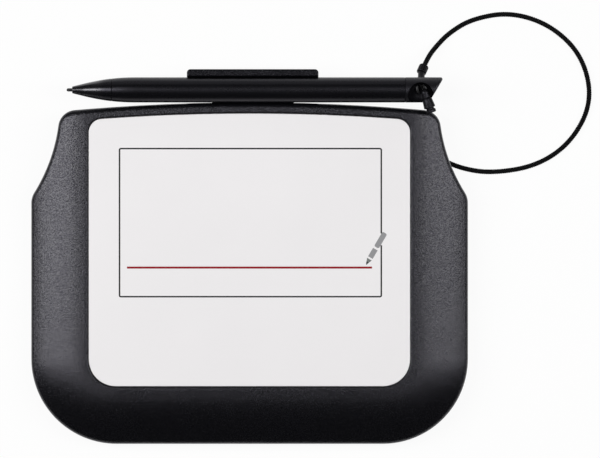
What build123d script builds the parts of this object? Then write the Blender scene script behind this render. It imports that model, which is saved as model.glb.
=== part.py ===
from build123d import *
from math import asin, cos, degrees, pi, radians, sin, sqrt, tan
import os

# Signature pad for an office or shop counter, with a pen that lies in a tray behind it
# and is tied to it by a cord. Lengths are in millimetres.
# X runs to the right, Y away from the person who signs and Z up. The origin is on the
# desk, under the middle of the pad and its pen tray, and the underside rests on four feet.
# The pad is two moulded shells: the upper one carries the writing plate in a dished
# bezel that falls away outwards, and the lower one carries the electronics.

os.makedirs("parts", exist_ok=True)

# Shared small values
overrun = 2.0  # how far a cut runs past what it cuts
seat_clearance = 0.05  # between a piece and the seat that it stands in
sliding_clearance = 0.08  # radial, between a sliding rod and its bore
touch = 0.01  # two edges nearer than this are the same edge
bend_share = 0.45  # of the shorter run beside a bend of a cord, taken by the bend

# Outline of the pad, seen from above
pad_width = 160.0
pad_depth = 125.0  # from the front edge to the crown of the arched rear edge
neck_inset = 10.6  # the rear corners stand this far inside the sides
rear_rise = 3.3  # the crown of the rear edge stands this far behind its corners
shoulder_reach = 90.4  # from the front edge to the shoulders
flank_sag = 2.3  # hollow of each flank between shoulder and rear corner
front_corner_radius = 31.2
shoulder_radius = 7.0
rear_corner_radius = 6.5

# Writing plate
bezel_width = 21.3  # at the sides and the front
rear_band = 4.1  # between the crowns of the pad's rear edge and the plate's
plate_rear_rise = 2.3
plate_rear_radius = 5.0
plate_thickness = 2.0
plate_recess = 0.3  # the plate lies this far below the bezel's crest
plate_gap = 0.3  # between the plate's edge and the bezel
plate_edge_round = 0.25
tape_thickness = 0.15
tape_width = 2.8
tape_setback = 0.3

# Heights of the shells
foot_height = 2.5
base_wall_height = 4.0  # lower shell, from its underside to the parting line
pad_thickness = 12.3  # from the underside to the bezel's crest
bezel_drop = 6.0  # how far the bezel falls from its crest to the rim
crest_flat = 1.5  # level strip round the plate, before the bezel falls
rim_radius = 2.0
base_radius = 1.8
pocket_round = 0.4  # round of the bezel's inner edge, beside the plate
wall = 2.2
floor_thickness = 2.0
lip_gap = 0.15
lip_thickness = 1.0
lip_height = 1.2
parting_chamfer = 0.25  # of both shells where they meet, a fine groove all round
ledge_width = 3.5  # how far the plate rests on its ledge
ledge_thickness = 1.7
seat_rim = 3.0  # the ledge's root reaches this far outside the plate's edge

# Case screws and their posts
post_radius = 2.8  # in the upper shell
base_post_radius = 4.0
side_post_inset = 10.5  # from the pad's side to the post
side_post_setback = 20.0  # from the shoulders forwards
rear_post_inset = 6.1  # from the rear corner inwards
rear_post_setback = 6.4  # from the rear corner forwards
front_post_inset = 11.0  # from the front corner's arc
screw_head_radius = 2.3
screw_head_height = 1.5
screw_radius = 1.2
screw_length = 6.4
screw_seat_height = 2.2  # from the underside to the face that the head pulls on
counterbore_radius = 2.7
clearance_bore_radius = 1.5
bore_spare = 0.5  # a pilot bore is this much deeper than its screw
cross_width = 0.55
cross_length = 2.4
cross_depth = 0.7

# Feet
foot_radius = 5.5
foot_seat_depth = 0.5
foot_round = 0.6
foot_gap = 0.1
rear_foot_inset = 19.1  # from the rear corner inwards
rear_foot_setback = 10.5  # from the crown of the rear edge
front_foot_inset = 13.0  # from the front corner's arc
front_foot_turn = -10.0  # degrees, from the side towards the front

# Bare recess for a label on the underside
recess_width = 62.0
recess_depth = 30.0
recess_drop = 0.3
recess_corner = 1.5
recess_front_margin = 29.0  # from the pad's front edge

# Digitiser stack under the plate
sensor_side_margin = 5.2  # from the plate's sides
sensor_depth = 66.0
sensor_thickness = 1.2
sensor_rear_margin = 6.4  # from the plate's rear crown
shield_margin = 2.0  # from the sensor board's sides and front
shield_cable_gap = 1.2  # from the flat cable's end to the shield
shield_thickness = 0.3
foam_side_margin = 10.0  # from the shield's sides
foam_end_margin = 7.0  # from the shield's front and rear
foam_thickness = 2.0
rib_thickness = 1.2
side_rib_count = 4
cross_rib_count = 3

# Controller board
board_width = 38.0
board_depth = 24.0
board_thickness = 1.2
board_setback = 28.6  # from the rear left corner to the board's middle
board_rear_margin = 5.5  # from the crown of the rear edge
board_hole_inset = 3.5
board_post_radius = 2.4
board_corner = 1.5
board_screw_radius = 0.9
board_screw_length = 4.0
board_screw_head_radius = 1.7
board_screw_head_height = 0.8
chip_size = 9.0
chip_height = 1.0
small_chip_size = 5.0
chip_setback = 8.5  # from the board's rear edge
chip_pitch = 11.0
connector_length = 16.0
connector_width = 4.5
connector_height = 1.2
connector_setback = 7.0  # from the board's front edge
cable_width = 14.0
cable_thickness = 0.2
cable_lead = 1.2  # level ends of the flat cable
cable_reach = 4.6  # from the connector to the cable's end under the sensor board
cable_bend = 0.8

# Cable socket, with no cable in it
socket_width = 7.7
socket_height = 3.9
socket_length = 9.2
socket_skin = 0.35
socket_tongue_width = 4.6
socket_tongue_thickness = 1.1
socket_corner = 0.7
socket_setback = 0.4  # its mouth lies this far inside the rear wall's face
socket_aperture_gap = 0.15

# Pen tray behind the pad
tray_width = 48.0
tray_centre_x = 1.2
tray_pen_gap = 0.15
tray_wall = 2.79
tray_lip_rise = 1.2  # the back lip stands this far above the pen's axis
tray_lip_round = 0.6
tray_front_drop = 4.0  # its front edge lies this far below the pen's axis
tray_front_round = 0.35
tray_end_round = 1.3
tray_standoff = 0.4  # between the tray and the pad's rear wall
web_width = 36.0
web_thickness = 3.2
tongue_width = 30.0
tongue_length = 12.0
tongue_thickness = 2.0
tongue_gap = 0.2
tongue_corner = 3.0
tongue_pad_height = 3.2  # of the thicker floor over the tongue
tongue_pad_margin = 3.0
tray_screw_pitch = 19.0
tray_screw_setback = 4.6  # from the tongue's front edge
tray_screw_length = 3.0
tray_screw_radius = 1.0
tray_screw_head_radius = 2.0
tray_screw_head_height = 1.0

# Pen
pen_radius = 4.6
pen_length = 137.7
pen_point_reach = 66.7  # the nib's point lies this far left of the pad's middle
pen_axis_rise = 0.9  # from the bezel's crest up to the pen's axis
pen_standoff = 4.48  # from the crown of the rear edge to the pen's axis
nib_radius = 0.6
nib_length = 27.0
nib_exposed = 2.0
nib_travel = 0.5
nib_spare = 0.1
cone_mouth_radius = 1.25
cone_mouth_round = 0.35
cone_slope = 14.0  # degrees, half angle of the front section
cone_blend_radius = 77.0
cone_length = 14.5
seam_chamfer = 0.15
spigot_length = 5.0
barrel_bore = 3.4
chamber_start = 9.0  # from the cone's mouth
chamber_radius = 2.2
core_radius = 1.5
winding_radius = 2.05
winding_length = 7.0
module_length = 11.0
module_gap = 0.5  # from the front section's spigot to the pressure module
core_length = 10.0
pen_board_length = 32.0
pen_board_thickness = 1.0
tail_length = 14.2
tail_slant = 5.5  # the pen's end is cut back by this much on its near side
tail_edge_round = 0.7
eyelet_setback = 8.25  # from the pen's far end
eyelet_radius = 2.0
eyelet_angle = 50.0  # degrees, the eyelet's axis above the level, towards the signer
scoop_radius = 4.75
scoop_shift = 0.3  # the scoop's centre lies this far left of the eyelet
scoop_reach = 2.07  # and this far in front of the pen's axis
scoop_rise = 3.5  # and this far above it

# Cord that ties the pen to the pad
cord_radius = 0.95
cord_floor_gap = 0.05
anchor_inset = 8.6  # from the rear corner inwards
anchor_setback = 18.0  # from the crown of the rear edge
anchor_radius = 3.4
anchor_height = 2.2
anchor_stem_radius = 1.9
anchor_barb = 0.35
anchor_barb_height = 1.2
anchor_barb_taper = 12.0  # degrees
anchor_round = 0.25
anchor_lift = 0.25  # the cord leaves it this far above its level on the desk
anchor_grip = 1.2  # the cord starts this far right of the anchor's middle
ferrule_radius = 1.8
ferrule_length = 3.3
ferrule_round = 0.45
ferrule_grip = 0.6  # how deep the sleeve sits in the ferrule
flute_radius = 0.35  # of the lengthwise flutes of the ferrule and the stopper
flute_depth = 0.12
flute_margin = 0.55  # plain length at the ends of the fluted faces
flute_count = 10
sleeve_radius = 1.25
sleeve_drop = 6.4  # from the pen's axis down the eyelet to the sleeve's bend
sleeve_mouth_drop = 0.6
stopper_radius = 1.5  # of its neck, whose round end lies in the pen's scoop
stopper_neck_length = 1.8
stopper_flare = 0.7  # length over which the neck widens to the collar
stopper_collar_radius = 1.8
stopper_collar_length = 3.3
stopper_swell = 0.35  # the collar widens by this much towards the groove
stopper_groove_radius = 1.45
stopper_groove_length = 0.55
stopper_bead_radius = 1.85
stopper_bead_length = 1.3
stopper_round = 0.35
stopper_shift = 1.2  # its round end lies this far right of the eyelet
stopper_reach = 1.12  # and this far in front of the pen's axis
stopper_rise = 2.95  # and this far above it
stopper_turn = 18.5  # degrees, from straight to the front towards the right
stopper_droop = 3.0  # degrees

# Places and levels that follow from the sizes above
tray_inner_radius = pen_radius + tray_pen_gap
tray_outer_radius = tray_inner_radius + tray_wall
overall_depth = pad_depth + pen_standoff + tray_outer_radius
front_y = -overall_depth / 2
neck_width = pad_width - 2 * neck_inset
crown_y = front_y + pad_depth
rear_corner_y = crown_y - rear_rise
shoulder_y = front_y + shoulder_reach
pen_y = crown_y + pen_standoff

base_z = foot_height
floor_z = base_z + floor_thickness
parting_z = base_z + base_wall_height
crest_z = base_z + pad_thickness
pen_z = crest_z + pen_axis_rise
plate_top_z = crest_z - plate_recess
plate_z = plate_top_z - plate_thickness
ledge_z = plate_z - tape_thickness
ledge_low_z = ledge_z - ledge_thickness
sensor_z = plate_z - sensor_thickness
shield_z = sensor_z - shield_thickness
foam_z = shield_z - foam_thickness

plate_width = pad_width - 2 * bezel_width
plate_front_y = front_y + bezel_width
plate_crown_y = crown_y - rear_band
plate_corner_y = plate_crown_y - plate_rear_rise
plate_front_radius = front_corner_radius - bezel_width

bezel_run = bezel_width - crest_flat
bezel_radius = (bezel_run**2 + bezel_drop**2) / (2 * bezel_drop)
bezel_sweep = degrees(asin((bezel_run + overrun) / bezel_radius))
rear_arc_radius = ((neck_width / 2) ** 2 + rear_rise**2) / (2 * rear_rise)


def rear_edge_y(x):
    """Where the pad's arched rear edge lies at a distance x from the middle."""
    return crown_y - rear_arc_radius + sqrt(rear_arc_radius**2 - x**2)


def mirrored(x, y):
    """A place on the right of the pad and its twin on the left."""
    return [(x, y), (-x, y)]


front_corner_x = pad_width / 2 - front_corner_radius
front_corner_y = front_y + front_corner_radius
diagonal = cos(radians(45))
front_post_reach = (front_corner_radius - front_post_inset) * diagonal
post_places = (
    mirrored(pad_width / 2 - side_post_inset, shoulder_y - side_post_setback)
    + mirrored(neck_width / 2 - rear_post_inset, rear_corner_y - rear_post_setback)
    + mirrored(front_corner_x + front_post_reach, front_corner_y - front_post_reach)
)
foot_angle = radians(front_foot_turn)
foot_arm = front_corner_radius - front_foot_inset
front_foot_x = front_corner_x + foot_arm * cos(foot_angle)
front_foot_y = front_corner_y + foot_arm * sin(foot_angle)
rear_foot_y = crown_y - rear_foot_setback
rear_foot_x = neck_width / 2 - rear_foot_inset
foot_places = mirrored(front_foot_x, front_foot_y) + mirrored(rear_foot_x, rear_foot_y)
foot_names = ("foot_front_right", "foot_front_left", "foot_rear_right", "foot_rear_left")
base_wall = wall + lip_gap + lip_thickness

board_rear_y = crown_y - board_rear_margin
board_centre_x = board_setback - neck_width / 2
board_centre_y = board_rear_y - board_depth / 2
socket_z = floor_z + socket_aperture_gap
board_z = socket_z + socket_height
board_top_z = board_z + board_thickness
connector_y = board_rear_y - board_depth + connector_setback
cable_start_y = connector_y - connector_width / 2
cable_end_y = cable_start_y - cable_reach
board_screw_places = [
    (board_centre_x + side * (board_width / 2 - board_hole_inset), board_centre_y + end)
    for side in (-1, 1)
    for end in (board_hole_inset - board_depth / 2, board_depth / 2 - board_hole_inset)
]
socket_mouth_y = rear_edge_y(board_centre_x) - socket_setback
socket_centre_z = socket_z + socket_height / 2

sensor_width = plate_width - 2 * sensor_side_margin
sensor_centre_y = plate_crown_y - sensor_rear_margin - sensor_depth / 2
shield_front_y = sensor_centre_y - sensor_depth / 2 + shield_margin
shield_rear_y = cable_end_y - shield_cable_gap
shield_width = sensor_width - 2 * shield_margin
shield_depth = shield_rear_y - shield_front_y
stack_centre_y = (shield_front_y + shield_rear_y) / 2
foam_width = shield_width - 2 * foam_side_margin
foam_depth = shield_depth - 2 * foam_end_margin

tray_face_y = crown_y + tray_standoff
tongue_front_y = crown_y - tongue_length
tray_screw_y = tongue_front_y + tray_screw_setback
tray_screw_places = [
    (tray_centre_x + side * tray_screw_pitch / 2, tray_screw_y) for side in (-1, 1)
]
tray_screw_seat_z = base_z + tray_screw_head_height
tongue_top_z = base_z + tongue_thickness
web_top_z = pen_z - (tray_inner_radius + tray_outer_radius) / 2

pen_point_x = -pen_point_reach
cone_mouth_x = pen_point_x + nib_exposed
cone_seam_x = cone_mouth_x + cone_length
chamber_x = cone_mouth_x + chamber_start
spigot_end_x = cone_seam_x + spigot_length
spigot_radius = barrel_bore - seat_clearance
module_x = spigot_end_x + module_gap
pen_board_width = 2 * sqrt(spigot_radius**2 - (pen_board_thickness / 2) ** 2)
pen_end_x = pen_point_x + pen_length
tail_seam_x = pen_end_x - tail_length
eyelet_x = pen_end_x - eyelet_setback
eyelet_direction = Vector(0, -cos(radians(eyelet_angle)), sin(radians(eyelet_angle)))
eyelet_centre = Vector(eyelet_x, pen_y, pen_z)
pen_plane = Plane((0, pen_y, pen_z), x_dir=(1, 0, 0), z_dir=(0, -1, 0))
pen_axis = Axis((0, pen_y, pen_z), (1, 0, 0))

# The cord's way from its anchor under the pad, out past the right flank, round a loop
# on the desk and up to the ferrule behind the pen.
anchor_x = neck_width / 2 - anchor_inset
anchor_y = crown_y - anchor_setback
desk_level = cord_radius + cord_floor_gap
anchor_level = desk_level + anchor_lift
cord_route = [
    (anchor_x + anchor_grip, 38.2, anchor_level),
    (68.8, 36.6, desk_level),
    (77.5, 32.5, desk_level),
    (89.1, 30.7, desk_level),
    (105.9, 33.5, desk_level),
    (118.6, 42.5, desk_level),
    (126.0, 57.3, desk_level),
    (122.4, 73.8, desk_level),
    (110.9, 85.1, desk_level),
    (96.0, 90.0, desk_level),
    (81.7, 87.5, desk_level),
    (73.2, 82.3, desk_level),
    (68.3, 77.1, 1.9),
    (65.5, 73.3, 4.4),
    (63.95, 69.9, 6.9),
]
# The thicker end of the cord goes up through the pen's eyelet into a stopper that lies
# in the scoop and over the pen's near side.
eyelet_foot = eyelet_centre - eyelet_direction * sleeve_drop
eyelet_mouth = eyelet_centre - eyelet_direction * sleeve_mouth_drop
stopper_start = eyelet_centre + Vector(stopper_shift, -stopper_reach, stopper_rise)
stopper_direction = Vector(
    sin(radians(stopper_turn)), -cos(radians(stopper_turn)), -tan(radians(stopper_droop))
).normalized()
ferrule_start = Vector(*cord_route[-1])
ferrule_direction = (ferrule_start - Vector(*cord_route[-2])).normalized()
sleeve_start = ferrule_start + ferrule_direction * (ferrule_length - ferrule_grip)
sleeve_route = [sleeve_start, eyelet_foot, eyelet_mouth, stopper_start]


def pad_outline(inset=0):
    """The pad's outline seen from above, drawn in by inset."""
    half, neck = pad_width / 2, neck_width / 2
    flank_slope = Vector(neck - half, rear_corner_y - shoulder_y).normalized()
    flank_middle = Vector((half + neck) / 2, (shoulder_y + rear_corner_y) / 2)
    hollow = flank_middle - Vector(flank_slope.Y, -flank_slope.X) * flank_sag
    with BuildSketch() as outline:
        with BuildLine():
            Line((-half, front_y), (half, front_y))
            Line((half, front_y), (half, shoulder_y))
            ThreePointArc((half, shoulder_y), hollow, (neck, rear_corner_y))
            ThreePointArc((neck, rear_corner_y), (0, crown_y), (-neck, rear_corner_y))
            ThreePointArc((-neck, rear_corner_y), (-hollow.X, hollow.Y), (-half, shoulder_y))
            Line((-half, shoulder_y), (-half, front_y))
        make_face()
        fillet(outline.vertices().group_by(Axis.Y)[-1], rear_corner_radius)
        fillet(outline.vertices().group_by(Axis.Y)[1], shoulder_radius)
        fillet(outline.vertices().group_by(Axis.Y)[0], front_corner_radius)
        if inset:
            offset(amount=-inset)
    return outline.sketch


def plate_outline(growth=0):
    """The writing plate's outline seen from above, grown by growth."""
    half = plate_width / 2
    with BuildSketch() as outline:
        with BuildLine():
            Line((-half, plate_front_y), (half, plate_front_y))
            Line((half, plate_front_y), (half, plate_corner_y))
            ThreePointArc((half, plate_corner_y), (0, plate_crown_y), (-half, plate_corner_y))
            Line((-half, plate_corner_y), (-half, plate_front_y))
        make_face()
        fillet(outline.vertices().group_by(Axis.Y)[-1], plate_rear_radius)
        fillet(outline.vertices().group_by(Axis.Y)[0], plate_front_radius)
        if growth:
            offset(amount=growth)
    return outline.sketch


def housing_form(inset, low_z):
    """The pad's domed form above low_z, drawn in by inset, for the shell and its cavity.

    The bezel's fall is an arc swept along the sides and front of the plate's border,
    so it turns with the front corners and runs out over the flanks."""
    half = plate_width / 2
    start_y = crown_y + overrun
    with BuildPart() as form:
        with BuildSketch(Plane.XY.offset(low_z)):
            add(pad_outline(inset))
        extrude(amount=crest_z - inset - low_z)
        with BuildLine() as border:
            FilletPolyline(
                (-half, start_y, crest_z),
                (-half, plate_front_y, crest_z),
                (half, plate_front_y, crest_z),
                (half, start_y, crest_z),
                radius=plate_front_radius,
            )
        with BuildSketch(Plane((-half, start_y, crest_z), x_dir=(-1, 0, 0), z_dir=(0, 1, 0))):
            with BuildLine():
                fall = CenterArc(
                    (crest_flat, -bezel_radius),
                    bezel_radius - inset,
                    90 - bezel_sweep,
                    bezel_sweep,
                )
                outer_end, inner_end = fall @ 0, fall @ 1
                Polyline(
                    outer_end,
                    (outer_end.X, overrun),
                    (inner_end.X, overrun),
                    inner_end,
                )
            make_face()
        sweep(path=border.wire(), mode=Mode.SUBTRACT)
    return form.part


def keep(piece, name):
    """Names a finished piece and writes it."""
    piece.part.label = name
    export_step(piece.part, f"parts/{name}.step")


def screws(name, places, seat_z, head_radius, head_height, radius, length, turn=1):
    """A group of screws with cross recesses, driven upwards, or downwards with turn -1."""
    cross_share = head_radius / screw_head_radius
    depth_share = head_height / screw_head_height
    with BuildPart() as group:
        with BuildSketch(Plane.XY.offset(seat_z)):
            with Locations(*places):
                Circle(head_radius)
        extrude(amount=-turn * head_height)
        with BuildSketch(Plane.XY.offset(seat_z)):
            with Locations(*places):
                Circle(radius)
        extrude(amount=turn * length)
        with BuildSketch(Plane.XY.offset(seat_z - turn * head_height)):
            with Locations(*places):
                Rectangle(cross_length * cross_share, cross_width * cross_share)
                Rectangle(cross_width * cross_share, cross_length * cross_share)
        extrude(amount=turn * cross_depth * depth_share, mode=Mode.SUBTRACT)
    keep(group, name)


def layer(name, width, depth, thickness, centre_y, low_z):
    """A flat rectangular layer of the stack under the plate."""
    with BuildPart() as sheet:
        with BuildSketch(Plane.XY.offset(low_z)):
            with Locations((0, centre_y)):
                Rectangle(width, depth)
        extrude(amount=thickness)
    keep(sheet, name)


def across_pen(x):
    """The plane square to the pen's axis at x."""
    return Plane((x, pen_y, pen_z), z_dir=(1, 0, 0))


def rings(piece):
    """The closed edges of a turned piece, from its front end to its rear end."""
    return piece.edges().filter_by(lambda edge: edge.is_closed).sort_by(Axis.X)


def turned(name, start_x, length, outer_radius, bore_radius):
    """A plain sleeve on the pen's axis."""
    with BuildPart() as sleeve:
        with BuildSketch(across_pen(start_x)):
            Circle(outer_radius)
            Circle(bore_radius, mode=Mode.SUBTRACT)
        extrude(amount=length)
    keep(sleeve, name)


def tube(name, route, radius):
    """A round cord along a route, with each bend as wide as its two runs allow.

    Prints the bends' radii, and the tube's volume beside its section times its length."""
    points = [Vector(*point) for point in route]
    runs = [end - start for start, end in zip(points, points[1:])]
    bends = []
    for run, next_run in zip(runs, runs[1:]):
        half_turn = radians(run.get_angle(next_run) / 2)
        bends.append(bend_share * min(run.length, next_run.length) / tan(half_turn))
    with BuildPart() as cord:
        with BuildLine() as path:
            FilletPolyline(*points, radius=bends)
        with BuildSketch(Plane(points[0], z_dir=runs[0])):
            Circle(radius)
        sweep(path=path.wire())
    length = path.wire().length
    print(name, "radii", [round(bend, 1) for bend in bends], "length", round(length, 1))
    print("volume", round(cord.part.volume, 1), "of", round(pi * radius**2 * length, 1))
    keep(cord, name)
    return cord.part


outer_form = housing_form(0, parting_z)
inner_form = housing_form(wall, parting_z - overrun)

# Room for the cable socket, cut through the rear wall of both shells
with BuildPart() as socket_notch:
    with Locations((board_centre_x, socket_mouth_y, socket_centre_z)):
        Box(
            socket_width + 2 * socket_aperture_gap,
            2 * base_wall + 2 * overrun,
            socket_height + 2 * socket_aperture_gap,
        )

# Upper shell: the hollow is made first, with the ledge and the posts left standing in it
with BuildPart() as upper_hollow:
    add(inner_form)
    with BuildSketch(Plane.XY.offset(ledge_low_z)):
        add(plate_outline(seat_rim))
    extrude(amount=crest_z - ledge_low_z, mode=Mode.SUBTRACT)
    with BuildSketch(Plane.XY.offset(parting_z - overrun)):
        with Locations(*post_places):
            Circle(post_radius)
    extrude(amount=crest_z, mode=Mode.SUBTRACT)

pilot_top_z = base_z + screw_seat_height + screw_length + bore_spare
with BuildPart() as top_housing:
    add(outer_form)
    walls = faces().filter_by(lambda f: abs(f.normal_at().Z) < touch)
    rim = walls.edges().filter_by(lambda e: e.center().Z > parting_z + touch)
    fillet(rim.filter_by(Axis.Z, reverse=True), rim_radius)
    chamfer(faces().sort_by(Axis.Z)[0].edges(), parting_chamfer)
    add(upper_hollow.part, mode=Mode.SUBTRACT)
    with BuildSketch(Plane.XY.offset(crest_z)) as pocket_mouth:
        add(plate_outline(plate_gap))
    extrude(amount=ledge_z - crest_z, mode=Mode.SUBTRACT)
    mouth_wire = pocket_mouth.sketch.face().outer_wire()
    fillet(edges().filter_by(lambda e: mouth_wire.distance_to(e @ 0.5) < touch), pocket_round)
    with BuildSketch(Plane.XY.offset(ledge_low_z - overrun)):
        add(plate_outline(-ledge_width))
    extrude(amount=overrun + ledge_thickness + overrun, mode=Mode.SUBTRACT)
    with BuildSketch(Plane.XY.offset(parting_z)):
        with Locations(*post_places):
            Circle(screw_radius + seat_clearance)
    extrude(amount=pilot_top_z - parting_z, mode=Mode.SUBTRACT)
    add(socket_notch.part, mode=Mode.SUBTRACT)
keep(top_housing, "top_housing")

# Lower shell: a tray with a lip that locates the upper shell, and posts for the screws
with BuildPart() as bottom_housing:
    with BuildSketch(Plane.XY.offset(base_z)):
        add(pad_outline())
    extrude(amount=base_wall_height)
    fillet(faces().sort_by(Axis.Z)[0].edges(), base_radius)
    chamfer(faces().sort_by(Axis.Z)[-1].edges(), parting_chamfer)
    with BuildSketch(Plane.XY.offset(parting_z)):
        add(pad_outline(wall + lip_gap))
    extrude(amount=lip_height)
    with BuildSketch(Plane.XY.offset(floor_z)):
        add(pad_outline(base_wall))
    extrude(amount=parting_z + lip_height - floor_z, mode=Mode.SUBTRACT)
    with BuildSketch(Plane.XY.offset(floor_z)):
        with Locations(*post_places):
            Circle(base_post_radius)
    extrude(amount=parting_z - floor_z)
    with BuildSketch(Plane.XY.offset(floor_z)):
        with Locations(*board_screw_places):
            Circle(board_post_radius)
    extrude(amount=board_z - floor_z)
    with BuildSketch(Plane.XY.offset(floor_z)):
        with Locations((0, stack_centre_y)):
            with GridLocations(foam_width / (side_rib_count - 1), 0, side_rib_count, 1):
                Rectangle(rib_thickness, foam_depth + rib_thickness)
            with GridLocations(0, foam_depth / (cross_rib_count - 1), 1, cross_rib_count):
                Rectangle(foam_width + rib_thickness, rib_thickness)
    extrude(amount=foam_z - floor_z)
    pad_front_y = tongue_front_y - tongue_pad_margin
    pad_rear_y = crown_y - base_wall
    with BuildSketch(Plane.XY.offset(floor_z)):
        with Locations((tray_centre_x, (pad_front_y + pad_rear_y) / 2)):
            Rectangle(tongue_width + 2 * tongue_pad_margin, pad_rear_y - pad_front_y)
    extrude(amount=tongue_pad_height)
    # Cut from below: the label's recess, then seats of the feet, the screws, the tray's
    # tongue and the anchor
    with BuildSketch(Plane.XY.offset(base_z)):
        with Locations((0, front_y + recess_front_margin + recess_depth / 2)):
            RectangleRounded(recess_width, recess_depth, recess_corner)
    extrude(amount=recess_drop, mode=Mode.SUBTRACT)
    with BuildSketch(Plane.XY.offset(base_z)):
        with Locations(*foot_places):
            Circle(foot_radius + foot_gap)
    extrude(amount=foot_seat_depth, mode=Mode.SUBTRACT)
    with BuildSketch(Plane.XY.offset(base_z)):
        with Locations(*post_places):
            Circle(counterbore_radius)
    extrude(amount=screw_seat_height, mode=Mode.SUBTRACT)
    with BuildSketch(Plane.XY.offset(base_z)):
        with Locations(*post_places):
            Circle(clearance_bore_radius)
    extrude(amount=parting_z + overrun - base_z, mode=Mode.SUBTRACT)
    with BuildSketch(Plane.XY.offset(base_z)):
        with Locations((tray_centre_x, tongue_front_y - tongue_gap)):
            Rectangle(
                tongue_width + 2 * tongue_gap,
                tongue_length + tongue_gap + overrun,
                align=(Align.CENTER, Align.MIN),
            )
        front_corners = vertices().group_by(Axis.Y)[0]
        fillet(front_corners, tongue_corner + tongue_gap)
    extrude(amount=tongue_thickness, mode=Mode.SUBTRACT)
    with BuildSketch(Plane.XY.offset(tongue_top_z)):
        with Locations(*tray_screw_places):
            Circle(tray_screw_radius + seat_clearance)
    tray_bore_depth = tray_screw_seat_z + tray_screw_length + bore_spare - tongue_top_z
    extrude(amount=tray_bore_depth, mode=Mode.SUBTRACT)
    with BuildSketch(Plane.XY.offset(board_z)):
        with Locations(*board_screw_places):
            Circle(board_screw_radius + seat_clearance)
    extrude(amount=board_thickness - board_screw_length - bore_spare, mode=Mode.SUBTRACT)
    with BuildSketch(Plane.XY.offset(base_z)):
        with Locations((anchor_x, anchor_y)):
            Circle(anchor_stem_radius + seat_clearance)
    extrude(amount=floor_thickness, mode=Mode.SUBTRACT)
    add(socket_notch.part, mode=Mode.SUBTRACT)
keep(bottom_housing, "bottom_housing")

# Writing plate and the tape that holds it down on the ledge
with BuildPart() as writing_plate:
    with BuildSketch(Plane.XY.offset(plate_z)):
        add(plate_outline())
    extrude(amount=plate_thickness)
    fillet(faces().sort_by(Axis.Z)[-1].edges(), plate_edge_round)
keep(writing_plate, "writing_plate")

with BuildPart() as plate_tape:
    with BuildSketch(Plane.XY.offset(ledge_z)):
        add(plate_outline(-tape_setback))
        add(plate_outline(-tape_setback - tape_width), mode=Mode.SUBTRACT)
    extrude(amount=tape_thickness)
keep(plate_tape, "plate_tape")

# Digitiser stack: sensor board, shield and the foam that presses both to the plate
layer(
    "sensor_board", sensor_width, sensor_depth, sensor_thickness, sensor_centre_y, sensor_z
)
layer("shield_sheet", shield_width, shield_depth, shield_thickness, stack_centre_y, shield_z)
layer("foam_pad", foam_width, foam_depth, foam_thickness, stack_centre_y, foam_z)

# Controller board with its screws, chips, flat cable and cable socket
with BuildPart() as controller_board:
    with BuildSketch(Plane.XY.offset(board_z)):
        with Locations((board_centre_x, board_centre_y)):
            RectangleRounded(board_width, board_depth, board_corner)
        with Locations(*board_screw_places):
            Circle(board_screw_radius + seat_clearance, mode=Mode.SUBTRACT)
    extrude(amount=board_thickness)
keep(controller_board, "controller_board")

with BuildPart() as controller_chips:
    chip_y = board_rear_y - chip_setback
    with BuildSketch(Plane.XY.offset(board_top_z)):
        with Locations((board_centre_x, chip_y)):
            Rectangle(chip_size, chip_size)
        with Locations(
            (board_centre_x - chip_pitch, chip_y), (board_centre_x + chip_pitch, chip_y)
        ):
            Rectangle(small_chip_size, small_chip_size)
    extrude(amount=chip_height)
keep(controller_chips, "controller_chips")

with BuildPart() as cable_connector:
    with BuildSketch(Plane.XY.offset(board_top_z)):
        with Locations((board_centre_x, connector_y)):
            Rectangle(connector_length, connector_width)
    extrude(amount=connector_height)
keep(cable_connector, "cable_connector")

with BuildPart() as flat_cable:
    low_z = board_top_z + connector_height / 2
    high_z = sensor_z - cable_thickness / 2
    with BuildLine() as cable_path:
        FilletPolyline(
            (board_centre_x, cable_start_y, low_z),
            (board_centre_x, cable_start_y - cable_lead, low_z),
            (board_centre_x, cable_end_y + cable_lead, high_z),
            (board_centre_x, cable_end_y, high_z),
            radius=cable_bend,
        )
    cable_plane = Plane((board_centre_x, cable_start_y, low_z), x_dir=(1, 0, 0), z_dir=(0, -1, 0))
    with BuildSketch(cable_plane):
        Rectangle(cable_width, cable_thickness)
    sweep(path=cable_path.wire())
keep(flat_cable, "flat_cable")

with BuildPart() as cable_socket:
    mouth_centre = (board_centre_x, socket_mouth_y, socket_centre_z)
    socket_plane = Plane(mouth_centre, x_dir=(1, 0, 0), z_dir=(0, -1, 0))
    with BuildSketch(socket_plane):
        RectangleRounded(socket_width, socket_height, socket_corner)
    extrude(amount=socket_length)
    with BuildSketch(socket_plane):
        RectangleRounded(
            socket_width - 2 * socket_skin,
            socket_height - 2 * socket_skin,
            socket_corner - socket_skin,
        )
        Rectangle(socket_tongue_width, socket_tongue_thickness, mode=Mode.SUBTRACT)
    extrude(amount=socket_length - 2 * socket_skin, mode=Mode.SUBTRACT)
keep(cable_socket, "cable_socket")

screws(
    "board_screws",
    board_screw_places,
    board_top_z,
    board_screw_head_radius,
    board_screw_head_height,
    board_screw_radius,
    board_screw_length,
    turn=-1,
)
screws(
    "case_screws",
    post_places,
    base_z + screw_seat_height,
    screw_head_radius,
    screw_head_height,
    screw_radius,
    screw_length,
)

# Four rubber feet
for foot_name, foot_place in zip(foot_names, foot_places):
    with BuildPart() as foot:
        with BuildSketch():
            with Locations(foot_place):
                Circle(foot_radius)
        extrude(amount=foot_height + foot_seat_depth)
        fillet(edges().sort_by(Axis.Z)[0], foot_round)
    keep(foot, foot_name)


def on_tray_radius(edge, radius):
    """Whether an edge at the tray's end lies on its round wall or on the lip above it."""
    middle = edge @ 0.5 - Vector(0, pen_y, pen_z)
    return abs(Vector(0, middle.Y, min(middle.Z, 0)).length - radius) < touch


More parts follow.
